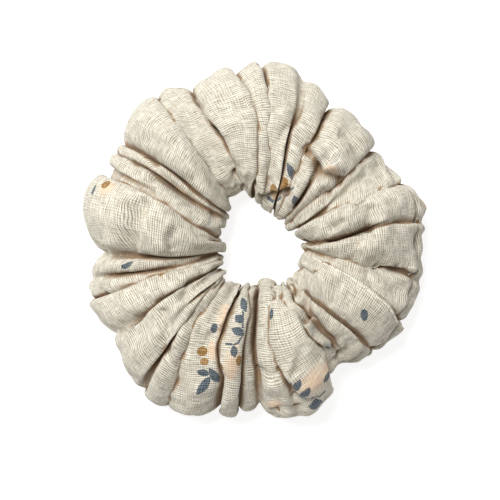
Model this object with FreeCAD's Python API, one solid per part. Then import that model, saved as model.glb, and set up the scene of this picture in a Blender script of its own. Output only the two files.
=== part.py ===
"""A gathered hair scrunchie lying flat: a sewn tube of printed cotton gauze, gathered on a hidden elastic loop.

Frame: millimetres, +Z up, origin on the table under the centre of the ring. The closing seam, where the
tube's two ends meet, crosses the ring on the +X side, a little towards -Y.
"""
import FreeCAD
import Part
import math
import os

# Driving dimensions
RING_RADIUS = 55.5          # centre to the crest of a gather at the outer edge
HOLE_RADIUS = 14.0          # centre to the crest of a gather at the hole
HEIGHT = 26.0               # table to the top of the gathers
GATHERS = 14                # crests round the ring
GATHER_DEPTH = 1.8          # crest to valley; it fades out where the tube is pressed on the table
PRESSED = 3.0               # how much of the tube's round section the table presses flat
CLOTH = 1.0                 # cover wall in the valleys: two layers of gauze. The folds fill the crests
BAND_RADIUS = 24.0          # inside of the elastic loop
BAND_BASE = 2.3             # the loop stands on the tube's lower wall
BAND_THICKNESS = 1.0
BAND_WIDTH = 6.0
BAND_OVERLAP = 12.0         # length of the lapped join
ALLOWANCE = 7.0             # width of the long seam's allowance, inside the tube
THREAD = 0.4                # sewing thread, diameter
STITCH_GAP = 0.4            # between two stitches of a row
LONG_SEAM_STITCHES = 90
CLOSING_SEAM_STITCHES = 18
CLOSING_SEAM_MARGIN = 8.0   # degrees round the tube, left free at each end of the closing seam
CLOSING_CREST = -1          # the gather that the closing seam lies on, counted from +X
NEEDLE_DEPTH = 0.1          # how deep the closing seam's thread lies in the cloth, on the top
BOBBIN_DEPTH = 0.25         # and on the underside, where the table presses it in
JOIN_ZIGZAGS = 8
JOIN_REACH = 0.4            # the zigzag runs this share of the overlap to each side of its middle
JOIN_RISE = 0.3             # and this share of the band's width up and down

# Worked out from them
MID_RADIUS = (RING_RADIUS + HOLE_RADIUS) / 2
HALF_WIDTH = (RING_RADIUS - HOLE_RADIUS) / 2
HALF_HEIGHT = (HEIGHT + PRESSED) / 2
MID_HEIGHT = HEIGHT - HALF_HEIGHT
ALLOWANCE_OUTER = RING_RADIUS - GATHER_DEPTH - CLOTH
ALLOWANCE_INNER = ALLOWANCE_OUTER - ALLOWANCE
LONG_SEAM_RADIUS = ALLOWANCE_INNER + ALLOWANCE / 3
CLOSING_ANGLE = 360.0 * CLOSING_CREST / GATHERS
BAND_MIDDLE = BAND_BASE + BAND_WIDTH / 2

SECTION_POLES = 16          # control points round the tube
RING_POLES = 2 * GATHERS    # one on each crest and one in each valley
DEGREE = 3
POLE_SHIFT = 1              # a periodic surface's parameter 0 lies at its second pole
FIRST_POLE = -0.25 - 0.5 / SECTION_POLES    # in turns: two poles lie each side of the tube's lowest line
# A periodic cubic lies inside its control net by this much, so the net is drawn larger
NET_SWELL = 6 / (4 + 2 * math.cos(2 * math.pi / SECTION_POLES))
# Control points that alternate between these depths, times the gathers', give crests at 0 and valleys at 1
CREST_POLE = -1.0
VALLEY_POLE = 2.0
UP = FreeCAD.Vector(0, 0, 1)


def gathered_surface(inset, depth, floor):
    """The tube's closed surface, moved inwards by inset: an oval section whose size swings by depth at each
    gather.

    The poles that would lie below the height floor are lifted to it, so the surface is flat between the
    two lowest rows.
    """
    poles = []
    for ring_step in range(RING_POLES):
        turn = 2 * math.pi * ring_step / RING_POLES
        swing = depth * (VALLEY_POLE if ring_step % 2 else CREST_POLE)
        row = []
        for section_step in range(SECTION_POLES):
            around = 2 * math.pi * (FIRST_POLE + section_step / SECTION_POLES)
            sink = inset + swing * min(1.0, 1.0 + math.sin(around))
            reach = MID_RADIUS + (HALF_WIDTH - sink) * NET_SWELL * math.cos(around)
            rise = MID_HEIGHT + (HALF_HEIGHT - sink) * NET_SWELL * math.sin(around)
            row.append(FreeCAD.Vector(reach * math.cos(turn), reach * math.sin(turn), max(rise, floor)))
        poles.append(row)
    surface = Part.BSplineSurface()
    surface.buildFromPolesMultsKnots(
        poles,
        [1] * (RING_POLES + 1),
        [1] * (SECTION_POLES + 1),
        [float(k) for k in range(RING_POLES + 1)],
        [float(k) for k in range(SECTION_POLES + 1)],
        True,
        True,
        DEGREE,
        DEGREE,
    )
    return surface


def gathered_solid(inset, depth, floor):
    """The solid inside the gathered surface, with a plane face where it lies flat."""
    side = gathered_surface(inset, depth, floor).toShape(0, RING_POLES, 0, SECTION_POLES - 1)
    rims = [Part.Wire([edge]) for edge in side.Edges if edge.BoundBox.ZMax < floor + CLOTH / 2]
    rims.sort(key=lambda rim: rim.Length)
    base = Part.Face([rims[-1], rims[0]]).reversed()
    solid = Part.Solid(Part.Shell([side, base]))
    if solid.Volume < 0:
        solid.reverse()
    return solid


def stitch(start, end):
    """One visible length of thread, drawn in at both ends by half the gap between stitches."""
    inset = (end - start).normalize() * (STITCH_GAP / 2)
    run = end - start - inset * 2
    return Part.makeCylinder(THREAD / 2, run.Length, start + inset, run)


def polar(radius, degrees, height):
    """A point on a circle about the ring's axis."""
    turn = math.radians(degrees)
    return FreeCAD.Vector(radius * math.cos(turn), radius * math.sin(turn), height)


def washer(inner, outer, low, thickness):
    """A flat ring about the ring's axis."""
    centre = FreeCAD.Vector(0, 0, low)
    disc = Part.makeCylinder(outer, thickness, centre, UP)
    return disc.cut(Part.makeCylinder(inner, thickness, centre, UP))


def fabric_cover():
    """The gathered tube, hollow, and the long seam's allowance, which stands inwards from the outer edge."""
    hollow = gathered_solid(GATHER_DEPTH + CLOTH, 0.0, CLOTH)
    tube = gathered_solid(0.0, GATHER_DEPTH, 0.0).cut(hollow)
    allowance = washer(ALLOWANCE_INNER, ALLOWANCE_OUTER, MID_HEIGHT - CLOTH / 2, CLOTH)
    return Part.makeCompound([tube.Solids[0], allowance])


def long_seam(side):
    """One of the long seam's two threads: side is +1 for the needle thread and -1 for the bobbin thread."""
    height = MID_HEIGHT + side * CLOTH / 2
    step = 360.0 / LONG_SEAM_STITCHES
    stitches = []
    for index in range(LONG_SEAM_STITCHES):
        start = polar(LONG_SEAM_RADIUS, index * step, height)
        end = polar(LONG_SEAM_RADIUS, (index + 1) * step, height)
        stitches.append(stitch(start, end))
    return Part.makeCompound(stitches)


def closing_seam(side, depth):
    """One thread of the seam that closes the ring, from the hole to the outer edge: side is +1 for the needle
    thread, which crosses the top, and -1 for the bobbin thread, which crosses the underside."""
    surface = gathered_surface(depth, GATHER_DEPTH, depth)
    along_ring = (CLOSING_ANGLE % 360) / 360 * RING_POLES - POLE_SHIFT
    holes = []
    for index in range(CLOSING_SEAM_STITCHES + 1):
        share = index / CLOSING_SEAM_STITCHES
        degrees = side * (180 - CLOSING_SEAM_MARGIN - (180 - 2 * CLOSING_SEAM_MARGIN) * share)
        pole = (degrees / 360 - FIRST_POLE) * SECTION_POLES
        holes.append(surface.value(along_ring, (pole - POLE_SHIFT) % SECTION_POLES))
    return Part.makeCompound([stitch(start, end) for start, end in zip(holes, holes[1:])])


def elastic_band():
    """The elastic loop: one strip, standing on edge, whose ends lap over each other at the join."""
    lap_radius = BAND_RADIUS + BAND_THICKNESS
    lap_degrees = math.degrees(BAND_OVERLAP / lap_radius)
    centre = FreeCAD.Vector(0, 0, BAND_BASE)
    loop = washer(BAND_RADIUS, lap_radius, BAND_BASE, BAND_WIDTH)
    lap = Part.makeCylinder(lap_radius + BAND_THICKNESS, BAND_WIDTH, centre, UP, lap_degrees)
    lap = lap.cut(Part.makeCylinder(lap_radius, BAND_WIDTH, centre, UP))
    lap.rotate(centre, UP, CLOSING_ANGLE - lap_degrees / 2)
    return loop.fuse(lap).removeSplitter()


def elastic_join(radius):
    """One thread of the zigzag that sews the elastic's lapped ends together, on the face at that radius."""
    corners = []
    for index in range(JOIN_ZIGZAGS + 1):
        along = BAND_OVERLAP * JOIN_REACH * (2 * index / JOIN_ZIGZAGS - 1)
        rise = BAND_WIDTH * JOIN_RISE * (1 if index % 2 else -1)
        corners.append(polar(radius, CLOSING_ANGLE + math.degrees(along / radius), BAND_MIDDLE + rise))
    return Part.makeCompound([stitch(start, end) for start, end in zip(corners, corners[1:])])


def main():
    nodes = {
        "fabric_cover": fabric_cover(),
        "elastic_band": elastic_band(),
        "long_seam_needle_thread": long_seam(1),
        "long_seam_bobbin_thread": long_seam(-1),
        "closing_seam_needle_thread": closing_seam(1, NEEDLE_DEPTH),
        "closing_seam_bobbin_thread": closing_seam(-1, BOBBIN_DEPTH),
        "elastic_join_needle_thread": elastic_join(BAND_RADIUS + 2 * BAND_THICKNESS),
        "elastic_join_bobbin_thread": elastic_join(BAND_RADIUS),
    }
    os.makedirs("parts", exist_ok=True)
    for name, shape in nodes.items():
        shape.exportStep(f"parts/{name}.step")
        box = shape.optimalBoundingBox(False)
        print(name, len(shape.Solids), "solids, valid", shape.isValid(), "volume", round(shape.Volume, 2),
              "x", round(box.XMin, 2), round(box.XMax, 2), "y", round(box.YMin, 2), round(box.YMax, 2),
              "z", round(box.ZMin, 2), round(box.ZMax, 2))


main()
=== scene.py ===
"""The scrunchie's looks: a tube of printed gauze, gathered on its elastic, lying flat on a pale table.

Lengths are in millimetres until a mesh is made, and in metres from there. Angles are in degrees, measured
anticlockwise from +X about the middle of the hole.
"""
import bpy
import math
import numpy as np
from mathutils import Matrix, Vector
from mathutils.bvhtree import BVHTree


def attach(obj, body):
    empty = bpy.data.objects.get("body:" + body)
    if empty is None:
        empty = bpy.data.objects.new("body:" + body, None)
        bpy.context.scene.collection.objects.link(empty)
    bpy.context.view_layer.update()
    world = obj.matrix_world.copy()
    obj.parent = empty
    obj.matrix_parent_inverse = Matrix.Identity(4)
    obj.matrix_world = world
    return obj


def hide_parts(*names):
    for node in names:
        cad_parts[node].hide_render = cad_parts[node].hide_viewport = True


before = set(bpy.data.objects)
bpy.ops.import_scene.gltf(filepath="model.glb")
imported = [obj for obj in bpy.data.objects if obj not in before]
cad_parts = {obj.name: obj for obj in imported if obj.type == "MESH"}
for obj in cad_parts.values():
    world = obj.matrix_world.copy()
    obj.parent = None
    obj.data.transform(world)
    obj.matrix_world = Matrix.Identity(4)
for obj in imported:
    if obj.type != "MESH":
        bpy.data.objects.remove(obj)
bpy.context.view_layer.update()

MM = 0.001
SEED = 7
TINY = 1e-9                 # keeps a division off zero

# ---------------------------------------------------------------- the cloth and its folds

HOLE_CENTRE = np.array([3.0, -1.0])
TUBE_ROUND = 104.0          # once round the tube, along the cloth
ALLOWANCE = 7.0             # turned in along each side of the long seam
CELL = 1.25                 # spacing of the simulated cloth's points
FEWEST = 4                  # points across a puff, at the least
ROWS = 84                   # points round the tube: 0 at the hole, a quarter on top, half at the outer edge
SEAM_ROW = ROWS // 2
FULLNESS = 1.17             # cloth in a puff, over the widest gap that it spans
EXTRA = 0.6                 # and on top of that, in mm
LAYER = 1.1                 # two layers of the cloth lie at least this far apart
TABLE_GAP = 0.6             # height of the lowest cloth while it settles
BELOW_TABLE = 0.15          # share of its depth that cloth laid out below the table keeps
PRESSED = 3.0               # how far the tube's oval section would reach below the table

# (angle, distance from the middle of the hole) of the crests at the outer edge, and at the hole
OUTLINE = [
    (0, 50.5), (18, 51.7), (22, 50), (26, 46.5), (40, 46), (46, 48), (61, 49.5), (64.5, 48), (71, 53.5),
    (80, 56.5), (97, 57.5), (104, 55.5), (110, 53), (116, 55), (122, 58), (130, 59.5), (140, 56.5),
    (146, 54), (149, 55), (156, 52), (160, 56.5), (165, 59.5), (175, 55), (183, 51), (190, 55.5), (198, 59),
    (205, 56), (214, 56), (222, 59), (238, 61.5), (244, 60.5), (252, 57.5), (262, 55), (270, 53.5),
    (280, 57), (287, 56.5), (293, 51), (299, 45.2), (306, 47), (315, 49), (322, 51), (345, 51),
]
RIM = [
    (0, 14.2), (15, 12), (36, 9.8), (58, 10.3), (80, 11.3), (93, 12.5), (100, 16.5), (106, 18.5),
    (130, 18.5), (138, 15), (150, 12.8), (174, 13.5), (182, 15), (200, 15), (215, 17), (230, 17.8),
    (246, 16.3), (257, 14), (268, 12.5), (283, 13.5), (296, 16), (302, 17.3), (310, 14.8), (325, 13.2),
    (342, 15.2),
]
# (angle, height of the crests above the table)
TOPS = [
    (0, 23.5), (12, 25), (22, 25.5), (33, 20), (44, 24), (54, 25.5), (65, 22), (72, 25), (82, 23),
    (94, 25.5), (105, 26), (112, 24), (121, 20), (127, 25), (138, 25), (148, 19), (154, 22), (162, 26),
    (175, 25.5), (190, 21), (197, 19.5), (205, 24), (222, 25.5), (236, 24), (240, 21), (250, 25), (258, 24),
    (264, 19), (276, 23), (287, 26), (296, 25), (304, 18.5), (312, 22), (322, 23.5), (334, 25.5), (341, 18),
    (352, 21.5),
]

# (angle, degrees by which the tube is rolled so that its long seam faces upwards)
ROLLS = [
    (0, 25), (16, 25), (27, 8), (40, -14), (90, -16), (180, -14), (270, -16), (305, -8), (325, 20),
    (340, 25),
]

# Each crease, anticlockwise: its angle at each of these distances from the middle of the hole, how deep it is
# there as a share of the puffs beside it, and how far the puff on its anticlockwise side leans over it (mm,
# negative where the clockwise one does)
STATIONS = (16.0, 24.0, 34.0, 44.0, 54.0)
CREASES = [
    ((0, 0, 4, 9, 8), (1, 1, 0.7, 0.05, 0), 0.0),
    ((9, 14.5, 23.5, 25.5, 24), (1, 1, 1, 1, 0.9), 1.6),
    ((18, 26.5, 32, 34, 33), (0.8, 0.7, 0.5, 0.4, 0.3), 0.0),
    ((33, 36, 37, 39.5, 41), (0.2, 0.2, 0.8, 1, 0.9), 0.8),
    ((46, 49.5, 54, 54, 53), (1, 1, 0.4, 0, 0), 0.0),
    ((60.5, 60, 69, 66.5, 64.5), (1, 1, 1, 1, 0.9), 0.8),
    ((75, 76, 78.5, 74.5, 76), (0, 0.3, 1, 1, 0.8), 0.0),
    ((91, 87.5, 86, 88, 90.5), (1, 1, 1, 0.8, 0.6), 0.8),
    ((98, 95, 91, 94, 101), (0, 0, 0.6, 1, 1), 1.2),
    ((106, 102.5, 108.5, 115.5, 115), (1, 1, 1, 1, 0.9), -1.0),
    ((129, 132, 130.5, 126.5, 126.5), (1, 1, 1, 1, 0.9), 1.0),
    ((136, 139, 139, 143, 145), (0.3, 0.4, 1, 1, 0.6), 0.6),
    ((146, 147, 148, 149, 148.5), (1, 1, 1, 0.6, 0.3), -0.8),
    ((163, 162, 156, 154, 153), (0.5, 0.2, 0, 0, 0), 0.0),
    ((177, 172, 163.5, 158.5, 159), (1, 1, 1, 1, 1), 1.6),
    ((188, 189, 188, 187, 184), (0.8, 0.8, 0.8, 0.5, 0.6), 0.0),
    ((195, 196, 194.5, 192.5, 192), (0.3, 0.5, 1, 1, 0.8), 0.0),
    ((203, 204, 199, 199.5, 199), (0.8, 1, 1, 1, 0.9), 0.8),
    ((213, 213, 212, 213, 211), (0.6, 0.3, 0.4, 0.5, 0.4), 0.0),
    ((220, 221, 224, 228, 231), (0.7, 0.2, 0.6, 0.5, 0.3), 0.0),
    ((229, 230, 237.5, 238.5, 240.5), (1, 1, 1, 1, 0.9), 1.2),
    ((242, 243, 244, 254.5, 256), (0.5, 0, 0.5, 1, 0.9), 0.8),
    ((254, 257.5, 259.5, 261.5, 262), (1, 1, 1, 1, 0.8), -0.8),
    ((265.5, 265.5, 265.5, 268, 269), (1, 1, 1, 1, 0.9), 0.0),
    ((280, 276.5, 272.5, 279.5, 282), (1, 1, 1, 1, 0.35), 1.2),
    ((287.5, 293, 294.5, 300, 294), (1, 1, 1, 1, 1), -1.6),
    ((297, 299, 303, 305, 304), (0.3, 0.3, 0.8, 0.8, 0.3), 0.0),
    ((307, 308, 311, 313.5, 316), (0.7, 0.9, 1, 1, 0.6), -0.6),
    ((322, 322, 322, 322, 322), (0.8, 0.5, 0.2, 0.1, 0), 0.0),
    ((338, 338, 335.8, 332, 330), (1, 1, 1, 1, 0.4), -1.6),
    ((348, 346, 350, 350, 347), (1, 1, 1, 0.4, 0), 1.0),
]
MIN_GAP = 3.5               # degrees between two creases
LEAN = 2.6                  # how far the lip of a leaning puff reaches over its neighbour, over that value
LIP = 3.0                   # and how far along the cloth from the crease it reaches furthest, in mm
HANG = 1.4                  # how far the lip's edge ends up beyond the crease, over the same value
PINCH = 1.2                 # how far from a crease the cloth is gripped, in mm

# Underneath, a crease goes straight back from the outer edge to the hole, with a slow wander
WANDER = 2.0                # degrees, once round the tube
QUICK_WANDER = 1.5          # degrees, twice round it
HOLE_SHARE = 0.8            # its depth there by the hole, over its depth on top by the hole
LEAST_SHARE = 0.4
UNDER_TURN = 4.0            # how quickly it changes over from the table above, by the slope of the tube

TABLE_SMOOTHING = 9         # degrees over which the corners of the tables are rounded


def unit(vectors):
    """The same directions, at length 1."""
    return vectors / np.maximum(np.linalg.norm(vectors, axis=-1, keepdims=True), TINY)


def round_table(table, angles):
    """Smooth values at these angles, through a table of (angle, value) that goes once round."""
    x = np.array([row[0] for row in table], float)
    y = np.array([row[1] for row in table], float)
    x = np.concatenate([x - 360, x, x + 360])
    y = np.concatenate([y, y, y])
    fine = np.arange(-180.0, 540.0, 1.0)
    line = np.interp(fine, x, y)
    window = np.hanning(TABLE_SMOOTHING)
    line = np.convolve(line, window / window.sum(), mode="same")
    return np.interp(np.mod(angles, 360.0), fine, line)


def around_tube(angles, rows):
    """The angle round the tube of these rows, in radians: 0 at the hole, a right angle on top."""
    return 2 * np.pi * rows / ROWS - np.radians(round_table(ROLLS, angles))


def section(angles, rows):
    """Where the crests run: distance from the hole's middle, height, and the outward direction in that
    plane."""
    rim = round_table(RIM, angles)
    reach = round_table(OUTLINE, angles)
    top = round_table(TOPS, angles)
    around = around_tube(angles, rows)
    half_width = (reach - rim) / 2
    half_height = (top + PRESSED) / 2
    distance = (reach + rim) / 2 - half_width * np.cos(around)
    height = top - half_height + half_height * np.sin(around)
    out = unit(np.stack([-np.cos(around) / half_width, np.sin(around) / half_height], -1))
    return distance, height, out


# The shape of a fold: the way it climbs and falls, by the steepest angle that it reaches
FOLD_STEPS = 200
FOLD_ANGLES = np.linspace(0.0, 2.15, 44)
SECOND_WAVE = 0.6           # these make its foot steep and its top round
THIRD_WAVE = 0.25
WAVES_TOP = 1.4             # about the greatest sum of the three waves


def fold_shape(steepest):
    """Run and rise along a fold of length 1, from crease to crease."""
    s = np.linspace(0.0, 1.0, FOLD_STEPS + 1)
    waves = np.sin(2 * np.pi * s) + SECOND_WAVE * np.sin(4 * np.pi * s) + THIRD_WAVE * np.sin(6 * np.pi * s)
    slope = steepest * waves / WAVES_TOP
    middle = (slope[1:] + slope[:-1]) / 2
    run = np.concatenate([[0.0], np.cumsum(np.cos(middle))]) / FOLD_STEPS
    rise = np.concatenate([[0.0], np.cumsum(np.sin(middle))]) / FOLD_STEPS
    return run, rise


FOLD_SHAPES = [fold_shape(a) for a in FOLD_ANGLES]
FOLD_RUNS = np.array([run[-1] for run, rise in FOLD_SHAPES])
FOLD_RISES = np.array([rise.max() for run, rise in FOLD_SHAPES])


def crease_lines(random):
    """The angle and the depth of every crease in each row of the cloth, and how far it is leant over. The
    first one comes again at the end, a turn further on."""
    rows = np.arange(ROWS)
    angles, shares = [], []
    for places, depths, lean in CREASES:
        around = around_tube(places[2], rows)
        blend = (1 - np.cos(around)) / 2
        station = STATIONS[0] + (STATIONS[-1] - STATIONS[0]) * blend
        wander = random.uniform(-WANDER, WANDER) * np.sin(around)
        wander = wander + random.uniform(-QUICK_WANDER, QUICK_WANDER) * np.sin(2 * around)
        straight = places[0] + (places[-1] - places[0]) * blend + wander
        by_hole = HOLE_SHARE * depths[0]
        plain = np.maximum(by_hole + (depths[-1] - by_hole) * blend, LEAST_SHARE)
        under = np.clip(-np.sin(around) * UNDER_TURN, 0, 1)
        share = np.interp(station, STATIONS, depths) * (1 - under) + plain * under
        # The lip that hangs over a crease hides it, and it is the lip's edge that the table places
        hidden_by = np.degrees(HANG * lean * share / section(np.full(ROWS, places[2]), rows)[0])
        angles.append(np.interp(station, STATIONS, places) * (1 - under) + straight * under + hidden_by)
        shares.append(share)
    for index in range(1, len(CREASES)):
        angles[index] = np.maximum(angles[index], angles[index - 1] + MIN_GAP)
    leans = [crease[2] for crease in CREASES]
    return np.array(angles + [angles[0] + 360]), np.array(shares + [shares[0]]), leans + [leans[0]]


def seed_cloth(random):
    """The gathered cloth as first laid out: an array of points (ring, tube, 3), how firmly each is held, the
    cloth's length in mm, the column that each crease starts at, and how deep it is in each row."""
    rows = np.arange(ROWS)
    angles, shares, leans = crease_lines(random)
    middle = (angles[1:] + angles[:-1]) / 2
    distance = section(middle, np.broadcast_to(rows, middle.shape))[0]
    gaps = np.radians(angles[1:] - angles[:-1]) * distance
    lengths = FULLNESS * gaps.max(axis=1) + EXTRA
    counts = np.maximum(FEWEST, np.round(lengths / CELL).astype(int))
    steepest = np.interp(-gaps / lengths[:, None], -FOLD_RUNS, FOLD_ANGLES)
    rises = np.interp(steepest, FOLD_ANGLES, FOLD_RISES) * lengths[:, None]
    before = np.vstack([rises[-1:], rises])
    after = np.vstack([rises, rises[:1]])
    depths = shares * (before + after) / 2

    columns, grips = [], []
    fine = np.linspace(0, 1, FOLD_STEPS + 1)
    for index, count in enumerate(counts):
        s = np.arange(count) / count
        runs = np.zeros((count, ROWS))
        heights = np.zeros((count, ROWS))
        for row in range(ROWS):
            which = np.searchsorted(FOLD_ANGLES, steepest[index, row])
            run, rise = FOLD_SHAPES[min(which, len(FOLD_SHAPES) - 1)]
            runs[:, row] = np.interp(s, fine, run / run[-1]) * gaps[index, row]
            heights[:, row] = np.interp(s, fine, rise / max(rise.max(), TINY)) * rises[index, row]
        share = (shares[index] + shares[index + 1]) / 2
        ends = -depths[index] * (1 - s[:, None]) - depths[index + 1] * s[:, None]
        heights = heights * share + ends
        from_start = s * lengths[index] / LIP
        from_end = (1 - s) * lengths[index] / LIP
        lip_start = max(leans[index], 0) * from_start * np.exp(1 - from_start)
        lip_end = max(-leans[index + 1], 0) * from_end * np.exp(1 - from_end)
        runs -= (lip_start[:, None] * shares[index] - lip_end[:, None] * shares[index + 1]) * LEAN
        turn = angles[index] + np.degrees(runs / distance[index])
        reach, level, normal = section(turn, np.broadcast_to(rows, turn.shape))
        reach = reach + normal[..., 0] * heights
        level = level + normal[..., 1] * heights
        level = np.where(level < TABLE_GAP, TABLE_GAP + BELOW_TABLE * (TABLE_GAP - level), level)
        turn = np.radians(turn)
        x = HOLE_CENTRE[0] + reach * np.cos(turn)
        y = HOLE_CENTRE[1] + reach * np.sin(turn)
        columns.append(np.stack([x, y, level], -1))
        near = np.exp(-(s * lengths[index] / PINCH) ** 2)[:, None] * shares[index] ** 4
        far = np.exp(-((1 - s) * lengths[index] / PINCH) ** 2)[:, None] * shares[index + 1] ** 4
        grips.append(np.maximum(near, far))
    starts = np.concatenate([[0], np.cumsum(counts)[:-1]])
    return np.concatenate(columns), np.concatenate(grips), lengths.sum(), starts, shares


# ---------------------------------------------------------------- how the cloth settles

RELAX_STEPS = 180
KEEP_SPEED = 0.85           # share of its last move that a point goes on with, each step
FASTEST = 0.3               # mm of a move that can carry on
CRINKLE = 0.5               # how strongly the cloth pushes back when it is shortened along the ring
BODY = 0.6                  # and round the tube
SHEAR = 0.3                 # how strongly it resists shearing
BEND = 0.3                  # and sharp bends
HOLD = 0.02                 # pull back towards the folds that were laid out, each step
GRIP = 0.45                 # the same on a crease, where the gathers on both sides pin the cloth
LOFT = 0.006                # mm that the springy cloth swells each step
APART = 0.6                 # how strongly two layers push each other away
WATCHED = 1.5               # layers within this many LAYERs of each other are watched for touching
LOOK_EVERY = 6              # steps from one look for such layers to the next
NEIGHBOURS = 2              # points this many apart in the cloth aren't taken as two layers
KEYS = 1024                 # cells along each side of the grid that finds close points


def pull_along(points, rest, axis, push):
    """One sweep over the lengths between neighbours along an axis of the closed grid. Push is how strongly a
    shortened length is pushed back out."""
    line = np.roll(points, -1, axis) - points
    length = np.linalg.norm(line, axis=-1, keepdims=True)
    off = (length - rest) / np.maximum(length, TINY) * 0.25
    move = line * np.where(length < rest, off * push, off)
    points += move
    points -= np.roll(move, 1, axis)


def pull_across(points, rest, way):
    """The same along one diagonal of the grid, so that the weave resists shearing: way is +1 or -1."""
    line = np.roll(points, (-1, -way), (0, 1)) - points
    length = np.linalg.norm(line, axis=-1, keepdims=True)
    move = line * (length - rest) / np.maximum(length, TINY) * 0.25 * SHEAR
    points += move
    points -= np.roll(move, (1, way), (0, 1))


def unevenness(values):
    """How far each value is off the mean of its four neighbours in the grid."""
    around = np.roll(values, 1, 0) + np.roll(values, -1, 0) + np.roll(values, 1, 1) + np.roll(values, -1, 1)
    return values - around / 4


def near_pairs(points, reach):
    """Pairs of points within reach of each other that aren't neighbours in the cloth."""
    across, round_it = points.shape[:2]
    flat = points.reshape(-1, 3)
    cells = np.floor(flat / reach).astype(np.int64) + KEYS // 2
    keys = (cells[:, 0] * KEYS + cells[:, 1]) * KEYS + cells[:, 2]
    order = np.argsort(keys, kind="stable")
    keys_sorted = keys[order]
    firsts, seconds = [], []
    steps = (-1, 0, 1)
    shifts = [(x * KEYS + y) * KEYS + z for x in steps for y in steps for z in steps]
    for shift in [value for value in shifts if value >= 0]:
        low = np.searchsorted(keys_sorted, keys + shift, "left")
        count = np.searchsorted(keys_sorted, keys + shift, "right") - low
        first = np.repeat(np.arange(len(flat)), count)
        starts = np.repeat(low - np.concatenate([[0], np.cumsum(count)[:-1]]), count)
        second = order[np.arange(len(first)) + starts]
        keep = second > first if shift == 0 else np.ones(len(first), bool)
        firsts.append(first[keep])
        seconds.append(second[keep])
    first, second = np.concatenate(firsts), np.concatenate(seconds)
    gap = flat[first] - flat[second]
    close = (gap * gap).sum(-1) < reach * reach
    first, second = first[close], second[close]
    along = np.abs(first // round_it - second // round_it)
    aside = np.abs(first % round_it - second % round_it)
    along = np.minimum(along, across - along)
    aside = np.minimum(aside, round_it - aside)
    apart = np.maximum(along, aside) > NEIGHBOURS
    return first[apart], second[apart]


def keep_apart(points, pairs):
    """Push the two points of each pair away from each other where they are closer than two layers can be."""
    flat = points.reshape(-1, 3)
    count = len(flat)
    first, second = pairs
    line = flat[first] - flat[second]
    length = np.linalg.norm(line, axis=1)
    close = length < LAYER
    first, second, line, length = first[close], second[close], line[close], length[close]
    move = line * ((LAYER - length) / np.maximum(length, 1e-6) * 0.5 * APART)[:, None]
    for axis in range(3):
        pushed = np.bincount(first, move[:, axis], count)
        flat[:, axis] += pushed - np.bincount(second, move[:, axis], count)


def normals(points):
    """Unit normals of a grid of points, pointing out of the tube."""
    along = np.roll(points, -1, 0) - np.roll(points, 1, 0)
    across = np.roll(points, -1, 1) - np.roll(points, 1, 1)
    return unit(np.cross(across, along))


def relax(seed, grips, cell_u, cell_v):
    """The cloth settles: it keeps its lengths, resists shearing and sharp bends, stays out of itself and off
    the table, swells a little, and is held to the folds that were laid out, firmly where they are creased."""
    points = seed.copy()
    speed = np.zeros_like(points)
    diagonal = math.hypot(cell_u, cell_v)
    hold = (HOLD + GRIP * grips)[..., None]
    for step in range(RELAX_STEPS):
        before = points.copy()
        points += speed * KEEP_SPEED
        points += hold * (seed - points)
        points += LOFT * normals(points)
        for _ in range(2):
            pull_along(points, cell_u, 0, CRINKLE)
            pull_along(points, cell_v, 1, BODY)
        pull_across(points, diagonal, 1)
        pull_across(points, diagonal, -1)
        points -= BEND * unevenness(unevenness(points))
        if step % LOOK_EVERY == 0:
            pairs = near_pairs(points, LAYER * WATCHED)
        keep_apart(points, pairs)
        points[..., 2] = np.maximum(points[..., 2], TABLE_GAP)
        speed = points - before
        length = np.linalg.norm(speed, axis=-1, keepdims=True)
        speed *= np.minimum(1.0, FASTEST / np.maximum(length, TINY))
    return points


# ---------------------------------------------------------------- the small shapes of the cloth

FINER = 2                   # the relaxed cloth is drawn this many times finer
CLOSING_CREASE = 29         # the crease that the closing seam runs beside, in the table above
CLOSING_SHIFT = -5          # fine columns from that crease to the lapped edge

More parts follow.
